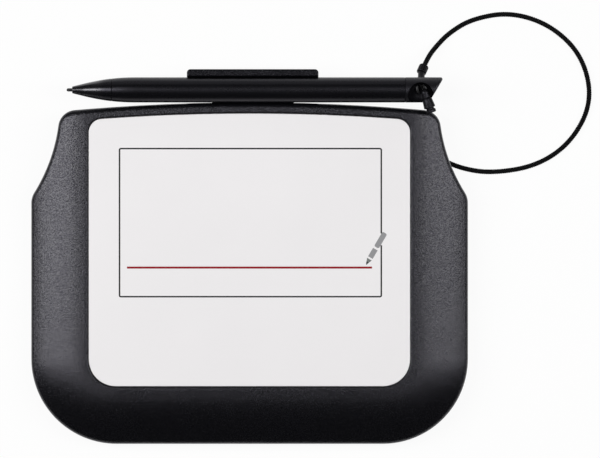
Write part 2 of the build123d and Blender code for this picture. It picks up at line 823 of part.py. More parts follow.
# Pen tray: an open half round trough on a web, and a tongue that is screwed on below
with BuildPart() as pen_tray:
    with BuildSketch(Plane((tray_centre_x, pen_y, pen_z), x_dir=(0, 1, 0), z_dir=(1, 0, 0))):
        Circle(tray_outer_radius)
        Rectangle(tray_outer_radius, tray_lip_rise, align=(Align.MIN, Align.MIN))
        Circle(tray_inner_radius, mode=Mode.SUBTRACT)
        with Locations((tray_inner_radius, 0)):
            Rectangle(
                2 * tray_outer_radius,
                tray_outer_radius,
                align=(Align.MAX, Align.MIN),
                mode=Mode.SUBTRACT,
            )
        with Locations((0, tray_lip_rise)):
            Rectangle(
                2 * tray_outer_radius,
                tray_outer_radius,
                align=(Align.CENTER, Align.MIN),
                mode=Mode.SUBTRACT,
            )
        with Locations((0, -tray_front_drop)):
            Rectangle(
                2 * tray_outer_radius,
                2 * tray_outer_radius,
                align=(Align.MAX, Align.MIN),
                mode=Mode.SUBTRACT,
            )
        with Locations((tray_face_y - pen_y, 0)):
            Rectangle(
                2 * tray_outer_radius,
                2 * tray_outer_radius + overrun,
                align=(Align.MAX, Align.CENTER),
                mode=Mode.SUBTRACT,
            )
    extrude(amount=tray_width / 2, both=True)
    ends = faces().filter_by(Axis.X).edges()
    fillet(ends.filter_by(lambda edge: on_tray_radius(edge, tray_outer_radius)), tray_end_round)
    fillet(faces().sort_by(Axis.Z)[-1].edges(), tray_lip_round)
    front_faces = faces().filter_by(Axis.Z).filter_by(lambda face: face.center().Y < pen_y)
    fillet(front_faces.edges().filter_by(Axis.X), tray_front_round)
    with BuildSketch(Plane.XY.offset(base_z)):
        with Locations((tray_centre_x, tray_face_y)):
            Rectangle(web_width, web_thickness, align=(Align.CENTER, Align.MIN))
    extrude(amount=web_top_z - base_z)
    with BuildSketch(Plane.XY.offset(base_z)):
        with Locations((tray_centre_x, tongue_front_y)):
            Rectangle(
                tongue_width,
                tray_face_y + web_thickness - tongue_front_y,
                align=(Align.CENTER, Align.MIN),
            )
        fillet(vertices().group_by(Axis.Y)[0], tongue_corner)
    extrude(amount=tongue_thickness)
    with BuildSketch(Plane.XY.offset(base_z)):
        with Locations(*tray_screw_places):
            Circle(tray_screw_radius + tongue_gap)
    extrude(amount=tongue_thickness, mode=Mode.SUBTRACT)
    with BuildSketch(Plane.XY.offset(base_z)):
        with Locations(*tray_screw_places):
            Circle(tray_screw_head_radius + tongue_gap)
    extrude(amount=tray_screw_head_height, mode=Mode.SUBTRACT)
keep(pen_tray, "pen_tray")

screws(
    "tray_screws",
    tray_screw_places,
    tray_screw_seat_z,
    tray_screw_head_radius,
    tray_screw_head_height,
    tray_screw_radius,
    tray_screw_length,
)

# Pen: its outer form is turned in one piece and then parted into front, barrel and tail
with BuildPart() as pen_form:
    slope = radians(cone_slope)
    blend_run = cone_blend_radius * sin(slope)
    blend_radius_start = pen_radius - cone_blend_radius * (1 - cos(slope))
    blend_start_x = cone_mouth_x + (blend_radius_start - cone_mouth_radius) / tan(slope)
    with BuildSketch(pen_plane):
        with BuildLine():
            Line((cone_mouth_x, 0), (cone_mouth_x, cone_mouth_radius))
            Line((cone_mouth_x, cone_mouth_radius), (blend_start_x, blend_radius_start))
            CenterArc(
                (blend_start_x + blend_run, pen_radius - cone_blend_radius),
                cone_blend_radius,
                90,
                cone_slope,
            )
            Line((blend_start_x + blend_run, pen_radius), (pen_end_x, pen_radius))
            Line((pen_end_x, pen_radius), (pen_end_x, 0))
            Line((pen_end_x, 0), (cone_mouth_x, 0))
        make_face()
    revolve(axis=pen_axis)
    fillet(edges().sort_by(Axis.X)[0], cone_mouth_round)

with BuildPart() as pen_tip_cone:
    add(pen_form.part)
    split(bisect_by=across_pen(cone_seam_x), keep=Keep.BOTTOM)
    chamfer(rings(pen_tip_cone)[-1], seam_chamfer)
    with BuildSketch(across_pen(cone_seam_x)):
        Circle(spigot_radius)
    extrude(amount=spigot_length)
    with BuildSketch(across_pen(chamber_x)):
        Circle(chamber_radius)
    extrude(amount=spigot_end_x - chamber_x, mode=Mode.SUBTRACT)
    with BuildSketch(across_pen(cone_mouth_x)):
        Circle(nib_radius + sliding_clearance)
    extrude(amount=chamber_start, mode=Mode.SUBTRACT)
keep(pen_tip_cone, "pen_tip_cone")

with BuildPart() as pen_barrel:
    add(pen_form.part)
    split(bisect_by=across_pen(cone_seam_x), keep=Keep.TOP)
    split(bisect_by=across_pen(tail_seam_x), keep=Keep.BOTTOM)
    chamfer([rings(pen_barrel)[0], rings(pen_barrel)[-1]], seam_chamfer)
    with BuildSketch(across_pen(cone_seam_x)):
        Circle(barrel_bore)
    extrude(amount=tail_seam_x - cone_seam_x, mode=Mode.SUBTRACT)
keep(pen_barrel, "pen_barrel")

with BuildPart() as pen_tail:
    add(pen_form.part)
    split(bisect_by=across_pen(tail_seam_x), keep=Keep.TOP)
    slant_normal = (2 * pen_radius, -tail_slant, 0)
    split(
        bisect_by=Plane((pen_end_x, pen_y + pen_radius, pen_z), z_dir=slant_normal),
        keep=Keep.BOTTOM,
    )
    fillet(faces().sort_by(Axis(eyelet_centre, slant_normal))[-1].edges(), tail_edge_round)
    chamfer(rings(pen_tail)[0], seam_chamfer)
    with BuildSketch(across_pen(tail_seam_x)):
        Circle(spigot_radius)
    extrude(amount=-spigot_length)
    with BuildSketch(Plane(eyelet_centre, z_dir=eyelet_direction)):
        Circle(eyelet_radius)
    extrude(amount=2 * pen_radius, both=True, mode=Mode.SUBTRACT)
    with Locations(eyelet_centre + Vector(-scoop_shift, -scoop_reach, scoop_rise)):
        Sphere(scoop_radius, mode=Mode.SUBTRACT)
keep(pen_tail, "pen_tail")

with BuildPart() as pen_nib:
    with BuildSketch(pen_plane):
        with Locations((pen_point_x + nib_radius, 0)):
            Circle(nib_radius)
            Rectangle(nib_length - nib_radius, 2 * nib_radius, align=(Align.MIN, Align.CENTER))
        with Locations((pen_point_x, 0)):
            Rectangle(nib_length, nib_radius, align=(Align.MIN, Align.MAX), mode=Mode.SUBTRACT)
    revolve(axis=pen_axis)
keep(pen_nib, "pen_nib")

# Inside the pen: the coil round the nib, the pressure module and the board
winding_x = chamber_x + (core_length - winding_length) / 2
turned("pen_coil_core", chamber_x, core_length, core_radius, nib_radius + sliding_clearance)
turned("pen_coil_winding", winding_x, winding_length, winding_radius, core_radius)

with BuildPart() as pen_pressure_module:
    with BuildSketch(across_pen(module_x)):
        Circle(spigot_radius)
    extrude(amount=module_length)
    with BuildSketch(across_pen(module_x)):
        Circle(nib_radius + sliding_clearance)
    nib_bore_depth = pen_point_x + nib_length + nib_travel + nib_spare - module_x
    extrude(amount=nib_bore_depth, mode=Mode.SUBTRACT)
keep(pen_pressure_module, "pen_pressure_module")

with BuildPart() as pen_board:
    with BuildSketch(across_pen(module_x + module_length)):
        Rectangle(pen_board_thickness, pen_board_width)
    extrude(amount=pen_board_length)
keep(pen_board, "pen_board")

# Cord: its anchor under the pad, the free loop, the ferrule, the sleeve and the knot
with BuildPart() as tether_anchor:
    with BuildSketch(Plane.XY.offset(base_z - anchor_height)):
        with Locations((anchor_x, anchor_y)):
            Circle(anchor_radius)
    extrude(amount=anchor_height)
    fillet(edges().sort_by(Axis.Z)[0], anchor_round)
    with BuildSketch(Plane.XY.offset(base_z)):
        with Locations((anchor_x, anchor_y)):
            Circle(anchor_stem_radius)
    extrude(amount=floor_thickness)
    with BuildSketch(Plane.XY.offset(floor_z)):
        with Locations((anchor_x, anchor_y)):
            Circle(anchor_stem_radius + anchor_barb)
    extrude(amount=anchor_barb_height, taper=anchor_barb_taper)
    first_run = Vector(*cord_route[1]) - Vector(*cord_route[0])
    seat_radius = cord_radius + seat_clearance
    with BuildSketch(Plane(cord_route[0], x_dir=(0, 0, 1), z_dir=first_run)):
        Circle(seat_radius)
        Rectangle(anchor_height, 2 * seat_radius, align=(Align.MAX, Align.CENTER))
    extrude(amount=anchor_radius + overrun, mode=Mode.SUBTRACT)
keep(tether_anchor, "tether_anchor")

tube("tether_cord", cord_route, cord_radius)

sleeve = tube("tether_sleeve", sleeve_route, sleeve_radius)

with BuildPart() as tether_ferrule:
    with BuildSketch(Plane(ferrule_start, z_dir=ferrule_direction)):
        Circle(ferrule_radius)
    extrude(amount=ferrule_length)
    fillet(edges().filter_by(GeomType.CIRCLE), ferrule_round)
    flute_start = ferrule_start + ferrule_direction * flute_margin
    with BuildSketch(Plane(flute_start, z_dir=ferrule_direction)):
        with PolarLocations(ferrule_radius + flute_radius - flute_depth, flute_count):
            Circle(flute_radius)
    extrude(amount=ferrule_length - 2 * flute_margin, mode=Mode.SUBTRACT)
    add(sleeve, mode=Mode.SUBTRACT)
keep(tether_ferrule, "tether_ferrule")

with BuildPart() as tether_knot:
    stopper_side = stopper_direction.cross(Vector(0, 0, 1)).normalized()
    stopper_plane = Plane(
        stopper_start, x_dir=stopper_direction, z_dir=stopper_side.cross(stopper_direction)
    )
    collar_start = stopper_neck_length + stopper_flare
    collar_end = collar_start + stopper_collar_length
    collar_end_radius = stopper_collar_radius + stopper_swell
    groove_end = collar_end + stopper_groove_length
    bead_end = groove_end + stopper_bead_length
    with BuildSketch(stopper_plane):
        with BuildLine():
            CenterArc((0, 0), stopper_radius, 90, 90)
            Polyline(
                (0, stopper_radius),
                (stopper_neck_length, stopper_radius),
                (collar_start, stopper_collar_radius),
                (collar_end, collar_end_radius),
                (collar_end, stopper_groove_radius),
                (groove_end, stopper_groove_radius),
                (groove_end, stopper_bead_radius),
                (bead_end, stopper_bead_radius),
                (bead_end, 0),
                (-stopper_radius, 0),
            )
        make_face()
        outer_corners = vertices().filter_by(lambda v: v.X > collar_end - touch)
        fillet(
            outer_corners.filter_by(lambda v: v.Y > stopper_groove_radius + touch),
            stopper_round,
        )
    revolve(axis=Axis(stopper_start, stopper_direction))
    flute_start = stopper_start + stopper_direction * collar_start
    with BuildSketch(Plane(flute_start, z_dir=stopper_direction)):
        with PolarLocations(collar_end_radius + flute_radius - 2 * flute_depth, flute_count):
            Circle(flute_radius)
    extrude(amount=stopper_collar_length - flute_margin, mode=Mode.SUBTRACT)
    add(sleeve, mode=Mode.SUBTRACT)
keep(tether_knot, "tether_knot")
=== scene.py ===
# %% [markdown]
# # A signature pad with a tethered pen
# The pad is a black case with a white writing plate, and a pen lies in a tray behind it.
# The engineering model already holds every piece at its true size. This lesson dresses it:
# first the camera, the paper, the lamps and the cord, then one finish after another, and
# last the small pieces that only looks need, such as the printed marks on the plate.

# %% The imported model
import math

import bmesh
import bpy
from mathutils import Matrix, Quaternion, Vector


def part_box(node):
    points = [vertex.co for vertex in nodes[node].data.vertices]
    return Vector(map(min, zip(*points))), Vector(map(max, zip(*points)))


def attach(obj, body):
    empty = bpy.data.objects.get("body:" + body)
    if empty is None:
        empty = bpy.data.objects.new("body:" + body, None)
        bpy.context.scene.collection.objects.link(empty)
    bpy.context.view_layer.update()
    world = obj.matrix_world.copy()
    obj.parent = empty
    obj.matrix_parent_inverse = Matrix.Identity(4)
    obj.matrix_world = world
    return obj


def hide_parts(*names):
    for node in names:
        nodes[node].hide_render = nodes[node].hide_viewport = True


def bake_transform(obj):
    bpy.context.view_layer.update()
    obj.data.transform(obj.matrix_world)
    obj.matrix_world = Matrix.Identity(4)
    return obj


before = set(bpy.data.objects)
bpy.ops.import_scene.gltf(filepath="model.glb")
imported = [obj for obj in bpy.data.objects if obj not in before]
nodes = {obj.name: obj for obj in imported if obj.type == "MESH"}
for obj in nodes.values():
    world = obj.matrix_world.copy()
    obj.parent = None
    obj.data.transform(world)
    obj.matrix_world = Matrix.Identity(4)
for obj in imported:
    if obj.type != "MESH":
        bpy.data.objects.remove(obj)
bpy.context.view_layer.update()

print("pieces loaded:", len(nodes))

# %% [markdown]
# ## Camera
# The pad is seen from straight above, as on a copy stand. A short lens near it would do,
# but the raised case would then look larger than the desk round it. A long lens far away
# keeps both at nearly the same scale, so the outline stays true. The distance follows from
# the lens, the sensor and the width that the picture shows at the level of the plate.

# %% Camera straight above the pad
picture_width = 0.21904
picture_middle = (0.01846, 0.01022)
plate_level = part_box("writing_plate")[1].z
lens_mm, sensor_mm = 300, 36
furthest_seen = 20

bpy.ops.object.camera_add(rotation=(0, 0, 0))
camera = bpy.context.object
camera.name = "camera"
camera.data.lens = lens_mm
camera.data.sensor_width = sensor_mm
reach = picture_width * lens_mm / sensor_mm
camera.location = (*picture_middle, plate_level + reach)
camera.data.clip_end = furthest_seen
bpy.context.scene.camera = camera
print("camera height:", round(camera.location.z, 3))

# %% [markdown]
# ## Shader maths in plain Python
# A finish is a small graph of nodes. It could be written out link by link, but its idea is
# soon lost that way. One class that wraps a socket lets the maths be written as maths, and
# one method adds any other kind of node with its settings and inputs.

# %% A socket that understands arithmetic
class Wire:
    """A socket of a node, on which Python's own arithmetic adds Math nodes."""

    def __init__(self, socket):
        self.socket = socket

    def node(self, kind, settings, inputs, output=0):
        """Adds a node beside this socket: its settings first, then its inputs."""
        tree = self.socket.id_data
        made = tree.nodes.new(kind)
        for name, value in settings.items():
            setattr(made, name, value)
        for name, value in inputs.items():
            if isinstance(value, Wire):
                tree.links.new(value.socket, made.inputs[name])
            else:
                made.inputs[name].default_value = value
        return Wire(made.outputs[output])

    def maths(self, operation, first, second=0.0):
        """Adds a Math node for numbers or wires."""
        return self.node("ShaderNodeMath", {"operation": operation}, {0: first, 1: second})

    def __add__(self, other):
        return self.maths("ADD", self, other)

    def __sub__(self, other):
        return self.maths("SUBTRACT", self, other)

    def __rsub__(self, other):
        return self.maths("SUBTRACT", other, self)

    def __mul__(self, other):
        return self.maths("MULTIPLY", self, other)

    def __truediv__(self, other):
        return self.maths("DIVIDE", self, other)

    def __rtruediv__(self, other):
        return self.maths("DIVIDE", other, self)

    def __lt__(self, other):
        return self.maths("LESS_THAN", self, other)

    def __gt__(self, other):
        return self.maths("GREATER_THAN", self, other)

    def __mod__(self, other):
        return self.maths("FLOORED_MODULO", self, other)

    def __rmod__(self, other):
        return self.maths("FLOORED_MODULO", other, self)

    def __abs__(self):
        return self.maths("ABSOLUTE", self)

    __radd__ = __add__
    __rmul__ = __mul__


# %% [markdown]
# ## What every finish starts from
# Plastic, steel and rubber differ only in numbers on one Principled shader, so each finish
# starts as that shader with its constants. Colours could be written as the linear numbers
# that shaders take, but nobody can judge those by eye. So they are written in the 0 to 255
# steps of a picture and made linear in one place.

# %% Colours and a blank finish
def shade(red, green, blue):
    """A colour written in 0 to 255 steps, as the linear colour that shaders take."""
    steps = [step / 255 for step in (red, green, blue)]
    linear = [s / 12.92 if s <= 0.04045 else ((s + 0.055) / 1.055) ** 2.4 for s in steps]
    return (*linear, 1.0)


def blank_finish(name, **constants):
    """Makes a material with these constants. Gives it, its shader and its places back."""
    finish = bpy.data.materials.new(name)
    finish.use_nodes = True
    finish.node_tree.nodes.clear()
    shader = finish.node_tree.nodes.new("ShaderNodeBsdfPrincipled")
    for socket, value in constants.items():
        shader.inputs[socket.replace("_", " ")].default_value = value
    output = finish.node_tree.nodes.new("ShaderNodeOutputMaterial")
    finish.node_tree.links.new(shader.outputs[0], output.inputs[0])
    places = finish.node_tree.nodes.new("ShaderNodeTexCoord").outputs["Object"]
    return finish, shader, Wire(places)


def feed(shader, **wires):
    """Links wires to the shader's sockets of these names."""
    for socket, wire in wires.items():
        shader.id_data.links.new(wire.socket, shader.inputs[socket.replace("_", " ")])


# %% [markdown]
# ## White paper
# The pad lies on white paper. More light could turn the paper white, but it would wash out
# the black plastic too. So the paper's own material glows for the camera and for the rays
# that shiny and clear things send out. A small share of it stays plain paper, which keeps
# part of the object's shadow.

# %% Paper under the pad
def ray(beside, kind):
    """1 for rays of one kind, such as Is Camera Ray, and 0 for all others."""
    return beside.node("ShaderNodeLightPath", {}, {}, output=kind)


paper_size = 12
paper_glow = 0.92

bpy.ops.mesh.primitive_plane_add(size=paper_size)
paper = bpy.context.object
paper.name = "paper"
paper_finish, paper_shader, paper_places = blank_finish(
    "paper_white", Base_Color=shade(236, 236, 236), Roughness=0.9
)
paper_surface = paper_shader.outputs[0].links[0].to_socket
seen = ray(paper_places, "Is Camera Ray") + ray(paper_places, "Is Glossy Ray")
seen = seen + ray(paper_places, "Is Transmission Ray")
glow = seen.node("ShaderNodeEmission", {}, {"Color": shade(255, 255, 255), "Strength": 1.0})
lit_paper = Wire(paper_shader.outputs[0])
mixed = seen.node("ShaderNodeMixShader", {}, {0: seen * paper_glow, 1: lit_paper, 2: glow})
paper_finish.node_tree.links.new(mixed.socket, paper_surface)
paper.data.materials.append(paper_finish)
print("paper:", paper_size, "metres square, glow", paper_glow)

# %% [markdown]
# ## Softboxes
# Black plastic shows little but reflections. Small lamps would put hard sparks on it, so
# the light comes from large soft sources, as in a studio. Each flank of the case mirrors
# one. The two are wide across and shallow from front to back, so the front slope finds
# nothing to mirror and stays dark. A weak third one lifts the rear edge.

# %% Two softboxes at the sides and a weak one behind
lamp_target = Vector((0, 0, 0.01))


def softbox(name, place, width, height, radiance):
    """A flat lamp that faces the pad. Its power follows from how bright it looks."""
    aim = lamp_target - Vector(place)
    turn = aim.to_track_quat("-Z", "Z").to_euler()
    bpy.ops.object.light_add(type="AREA", location=place, rotation=turn)
    lamp = bpy.context.object
    lamp.name = name
    lamp.data.shape = "RECTANGLE"
    lamp.data.size, lamp.data.size_y = width, height
    lamp.data.energy = radiance * math.pi * width * height
    lamp.visible_camera = False
    print(name, "watts:", round(lamp.data.energy, 2))


softbox("softbox_left", (-0.558, 0.09, 0.735), width=0.90, height=0.335, radiance=7.25)
softbox("softbox_right", (0.550, 0.09, 0.741), width=0.93, height=0.335, radiance=5.12)
softbox("softbox_rear", (0.05, 0.90, 0.32), width=0.8, height=0.6, radiance=0.42)

# %% [markdown]
# ## The room
# A low view looks past the paper into the room. A picture of a studio round the pad would
# put windows and walls into its shine. An even white for the camera and a weak grey for
# all other rays keep the ground white and the shadows clean.

# %% White to the camera, nearly dark to the pad
room_fill = 0.05

room = bpy.data.worlds.new("room")
bpy.context.scene.world = room
room.use_nodes = True
room.node_tree.nodes.clear()
room_output = room.node_tree.nodes.new("ShaderNodeOutputWorld")
room_seen = ray(Wire(room_output.inputs[0]), "Is Camera Ray")
room_level = room_seen * (1 - room_fill) + room_fill
room_light = room_level.node(
    "ShaderNodeBackground", {}, {"Color": shade(255, 255, 255), "Strength": room_level}
)
room.node_tree.links.new(room_light.socket, room_output.inputs[0])
bpy.context.scene.view_settings.view_transform = "Standard"
print("room: 1 to the camera,", room_fill, "to all other rays")

# %% [markdown]
# ## The cord
# The pen hangs on a thin laid cord: five fine strands twisted round each other. It leaves an
# anchor under the pad, runs out past the right flank, lies on the desk in one wide loop and
# climbs to a ferrule behind the pen. One smooth curve gives its line. The strands could be a
# bump on a round tube, but from near, laid strands shade each other, so they are modelled.

# %% The line that the cord follows
cord_radius = 0.00095
steps_per_run = 36
cord_route = [
    (0.0617, 0.0382, 0.00125),
    (0.0688, 0.0366, 0.0010),
    (0.0775, 0.0325, 0.0010),
    (0.0891, 0.0307, 0.0010),
    (0.1059, 0.0335, 0.0010),
    (0.1186, 0.0425, 0.0010),
    (0.1260, 0.0573, 0.0010),
    (0.1224, 0.0738, 0.0010),
    (0.1109, 0.0851, 0.0010),
    (0.0960, 0.0900, 0.0010),
    (0.0817, 0.0875, 0.0010),
    (0.0732, 0.0823, 0.0010),
    (0.0683, 0.0771, 0.0019),
    (0.0655, 0.0733, 0.0044),
    (0.06395, 0.0699, 0.0069),
]
cord_curve = bpy.data.curves.new("cord_line", "CURVE")
cord_curve.dimensions = "3D"
cord_curve.resolution_u = steps_per_run
cord_spline = cord_curve.splines.new("NURBS")
cord_spline.points.add(len(cord_route) - 1)
for control, place in zip(cord_spline.points, cord_route):
    control.co = (*place, 1.0)
cord_spline.order_u = 3
cord_spline.use_endpoint_u = True
cord_line = bpy.data.objects.new("cord_line", cord_curve)
cord_path = [v.co.copy() for v in bpy.data.meshes.new_from_object(cord_line).vertices]
bpy.data.objects.remove(cord_line)
cord_runs = [(b - a).length for a, b in zip(cord_path, cord_path[1:])]
cord_length = sum(cord_runs)
print("cord length:", round(cord_length, 4), "points:", len(cord_path))

# %% Strands twisted round that line
strand_count = 5
strand_sides = 8
lay_length = 0.0038
strand_radius = 0.00033
strand_offset = cord_radius - strand_radius


def headings(path):
    """The direction of a path at each of its points."""
    before = [path[0]] + path[:-1]
    after = path[1:] + [path[-1]]
    return [(b - a).normalized() for a, b in zip(before, after)]


def level_sides(directions):
    """A direction square to the path at each point, turned as little as possible."""
    side = directions[0].orthogonal().normalized()
    sides = [side]
    for old, new in zip(directions, directions[1:]):
        side = old.rotation_difference(new) @ side
        side = (side - new * side.dot(new)).normalized()
        sides.append(side)
    return sides


def strand_faces(first, rings):
    """The faces of one strand: quads between its rings and a cap on each end."""
    last = first + (rings - 1) * strand_sides
    faces = []
    for low in range(first, last, strand_sides):
        high = low + strand_sides
        for step in range(strand_sides):
            after = (step + 1) % strand_sides
            faces.append((low + step, low + after, high + after, high + step))
    faces.append(tuple(reversed(range(first, first + strand_sides))))
    faces.append(tuple(range(last, last + strand_sides)))
    return faces


def unwrap(mesh, along, around):
    """A UV map with one turn round a strand across it and one lay along it."""
    unwrapped = mesh.uv_layers.new(name="lay")
    for face in mesh.polygons:
        corners = [mesh.loops[i].vertex_index for i in face.loop_indices]
        places = [around[v] for v in corners]
        crosses_seam = max(places) - min(places) > 0.5
        for i, v in zip(face.loop_indices, corners):
            next_turn = crosses_seam and around[v] < 0.5
            unwrapped.data[i].uv = (around[v] + next_turn, along[v] / lay_length)
        face.use_smooth = len(corners) == 4


def laid_cord(name, path):
    """A mesh of strands that twist round a path, with a UV map along and round each."""
    directions = headings(path)
    sides = level_sides(directions)
    reached = [0.0]
    for start, end in zip(path, path[1:]):
        reached.append(reached[-1] + (end - start).length)
    lean = math.atan2(2 * math.pi * strand_offset, lay_length)
    verts, faces, along, around = [], [], [], []
    for strand in range(strand_count):
        first = len(verts)
        for point, forward, side, run in zip(path, directions, sides, reached):
            turn = 2 * math.pi * (run / lay_length + strand / strand_count)
            outward = Quaternion(forward, turn) @ side
            axis = Quaternion(outward, -lean) @ forward
            middle = point + outward * strand_offset
            for step in range(strand_sides):
                spoke = Quaternion(axis, 2 * math.pi * step / strand_sides) @ outward
                verts.append(middle + spoke * strand_radius)
                along.append(run)
                around.append(step / strand_sides)
        faces += strand_faces(first, len(path))
    mesh = bpy.data.meshes.new(name)
    mesh.from_pydata(verts, [], faces)
    unwrap(mesh, along, around)
    return mesh


cord = bpy.data.objects.new("cord_strands", laid_cord("cord_strands", cord_path))
bpy.context.scene.collection.objects.link(cord)
print("cord triangles:", sum(len(f.vertices) - 2 for f in cord.data.polygons))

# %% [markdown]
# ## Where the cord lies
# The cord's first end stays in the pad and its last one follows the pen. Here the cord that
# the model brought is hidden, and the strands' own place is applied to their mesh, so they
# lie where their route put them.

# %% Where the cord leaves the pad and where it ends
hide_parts("tether_cord")
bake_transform(cord)
print("cord from", cord_route[0], "to", cord_route[-1])

# %% [markdown]
# ## Cord fibre
# The strands are black filament yarn with a slight gloss. Fine lines along each strand and
# a few paler filaments show on the real cord. Noise in space would cut straight through
# every bend, so the pattern reads the strands' own UV map, which goes once round a strand
# and once along each lay. Drawn out along the strand, noise turns into filaments.

# %% Noise, mixes and relief
def drawn_out(places, shares):
    """Places scaled along each axis. A share below 1 draws a pattern out along it."""
    return places.node(
        "ShaderNodeVectorMath", {"operation": "MULTIPLY"}, {0: places, 1: shares}
    )


def grain(places, size, detail=2.0, spread=0.5):
    """Noise from 0 to 1 whose lumps are about size across, in the unit of its places."""
    inputs = {"Vector": places, "Scale": 1 / size, "Detail": detail, "Roughness": spread}
    return places.node("ShaderNodeTexNoise", {}, inputs)


def between(factor, low, high):
    """A mix of two colours, each a wire or four numbers."""
    settings = {"data_type": "RGBA"}
    return factor.node("ShaderNodeMix", settings, {0: factor, 6: low, 7: high}, output=2)


def bumped(height, distance, strength=1.0):
    """A normal that shows height as relief of a depth in metres."""
    inputs = {"Height": height, "Distance": distance, "Strength": strength}
    return height.node("ShaderNodeBump", {}, inputs)


def soft_step(wire, low, high):
    """0 below low and 1 above high, with a smooth turn between."""
    settings = {"interpolation_type": "SMOOTHSTEP"}
    inputs = {"Value": wire, "From Min": low, "From Max": high}
    return wire.node("ShaderNodeMapRange", settings, inputs)


# %% Finish of the cord
cord_finish, cord_shader, cord_places = blank_finish("cord_fibre", Specular_IOR_Level=0.1)
lay_map = cord_places.node("ShaderNodeUVMap", {"uv_map": "lay"}, {})
filaments = grain(drawn_out(lay_map, (9.0, 2.2, 1.0)), size=1.0, detail=3.0)
feed(
    cord_shader,
    Base_Color=between(soft_step(filaments, 0.35, 0.8), shade(3, 3, 4), shade(15, 15, 17)),
    Roughness=filaments * 0.2 + 0.5,
    Normal=bumped(filaments, 0.00012, 0.7),
)
cord.data.materials.append(cord_finish)
print(cord_finish.name, "on", cord.name)

# %% [markdown]
# ## Case plastic
# Both shells and the tray are black ABS from an eroded mould: a dense, shallow grain that
# makes soft light sparkle. Noise in the roughness alone would only cloud the shine, so two
# sizes of noise give real relief. A coat that lies only on the high points gives the
# glints, and a far larger noise varies how rough the surface is, as hands polish it. The
# tray is the same plastic with less gloss.

# %% Finish of the shells and the tray
def dress(finish, *names):
    """Gives CAD nodes a finish in place of the plain one that they came with."""
    for name in names:
        for slot in nodes[name].material_slots:
            slot.material = finish
    print(finish.name, "on", ", ".join(names))


cool_gloss = (0.88, 0.86, 1.0, 1.0)


def case_plastic(name, gloss, glint):
    """Black plastic from an eroded mould. Glint is the coat on its high points."""
    finish, shader, places = blank_finish(
        name, Specular_IOR_Level=gloss, Specular_Tint=cool_gloss, Coat_Roughness=0.26
    )
    fine_grain = grain(places, size=0.00034, detail=0.0)
    relief = fine_grain * 0.85 + grain(places, size=0.0008, detail=0.0) * 0.15
    patches = grain(places, size=0.021)
    peaks = soft_step(grain(places, size=0.0004, detail=0.0), 0.42, 0.62)
    feed(
        shader,
        Base_Color=between(soft_step(relief, 0.4, 0.72), shade(5, 5, 7), shade(15, 15, 18)),
        Roughness=patches * 0.05 + fine_grain * 0.04 + 0.22,
        Coat_Weight=peaks * glint,
        Normal=bumped(relief, 0.000088),
    )
    return finish


dress(case_plastic("case_plastic", gloss=0.32, glint=0.45), "top_housing", "bottom_housing")
dress(case_plastic("tray_plastic", gloss=0.13, glint=0.06), "pen_tray")

# %% [markdown]
# ## Pen plastic
# The pen is moulded in the same black but polished finer, so it shows a soft long
# highlight, which the grain of the case would break up. Only faint pores and slight
# handling marks along its length remain. Its slanted tail is duller, and fingers have
# polished the front half of its tip to a clear shine. A glossier plastic for the whole tip
# would show an edge at its seam, so a coat gives that shine and fades out towards the
# grip. The nib is a greyer, matt plastic that wear makes paler.

# %% Finish of the pen
def along_axis(places, axis):
    """How far along one axis a place lies: axis 0, 1 or 2 for X, Y or Z."""
    return places.node("ShaderNodeSeparateXYZ", {}, {0: places}, output=axis)


polished_length, fading_length = 0.0080, 0.0043
polished_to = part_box("pen_tip_cone")[0].x + polished_length
dull_from = polished_to + fading_length


def pen_plastic(name, dullness):
    """Fine black plastic with marks along the pen. Dullness spreads its shine."""
    finish, shader, places = blank_finish(
        name, Specular_IOR_Level=0.35, Specular_Tint=cool_gloss, Coat_Roughness=0.18
    )
    pores = grain(places, size=0.0005)
    marks = grain(drawn_out(places, (0.08, 1.0, 1.0)), size=0.0016, detail=3.0)
    grip = soft_step(along_axis(places, 0), polished_to, dull_from)
    feed(
        shader,
        Base_Color=between(soft_step(pores, 0.4, 0.8), shade(6, 6, 8), shade(12, 12, 14)),
        Roughness=marks * 0.08 + pores * 0.04 + dullness,
        Coat_Weight=1 - grip,
        Normal=bumped(pores, 0.00002, 0.6),
    )
    return finish


dress(pen_plastic("cone_plastic", dullness=0.21), "pen_tip_cone")
dress(pen_plastic("pen_plastic", dullness=0.22), "pen_barrel")
dress(pen_plastic("tail_plastic", dullness=0.36), "pen_tail")

# %% Finish of the nib
nib_finish, nib_shader, nib_places = blank_finish("nib_plastic", Specular_IOR_Level=0.45)
nib_wear = soft_step(grain(nib_places, size=0.0004, detail=3.0), 0.45, 0.75)
feed(
    nib_shader,
    Base_Color=between(nib_wear, shade(24, 24, 26), shade(52, 51, 54)),
    Roughness=nib_wear * 0.2 + 0.45,
    Normal=bumped(nib_wear, 0.00003, 0.5),
)
dress(nib_finish, "pen_nib")
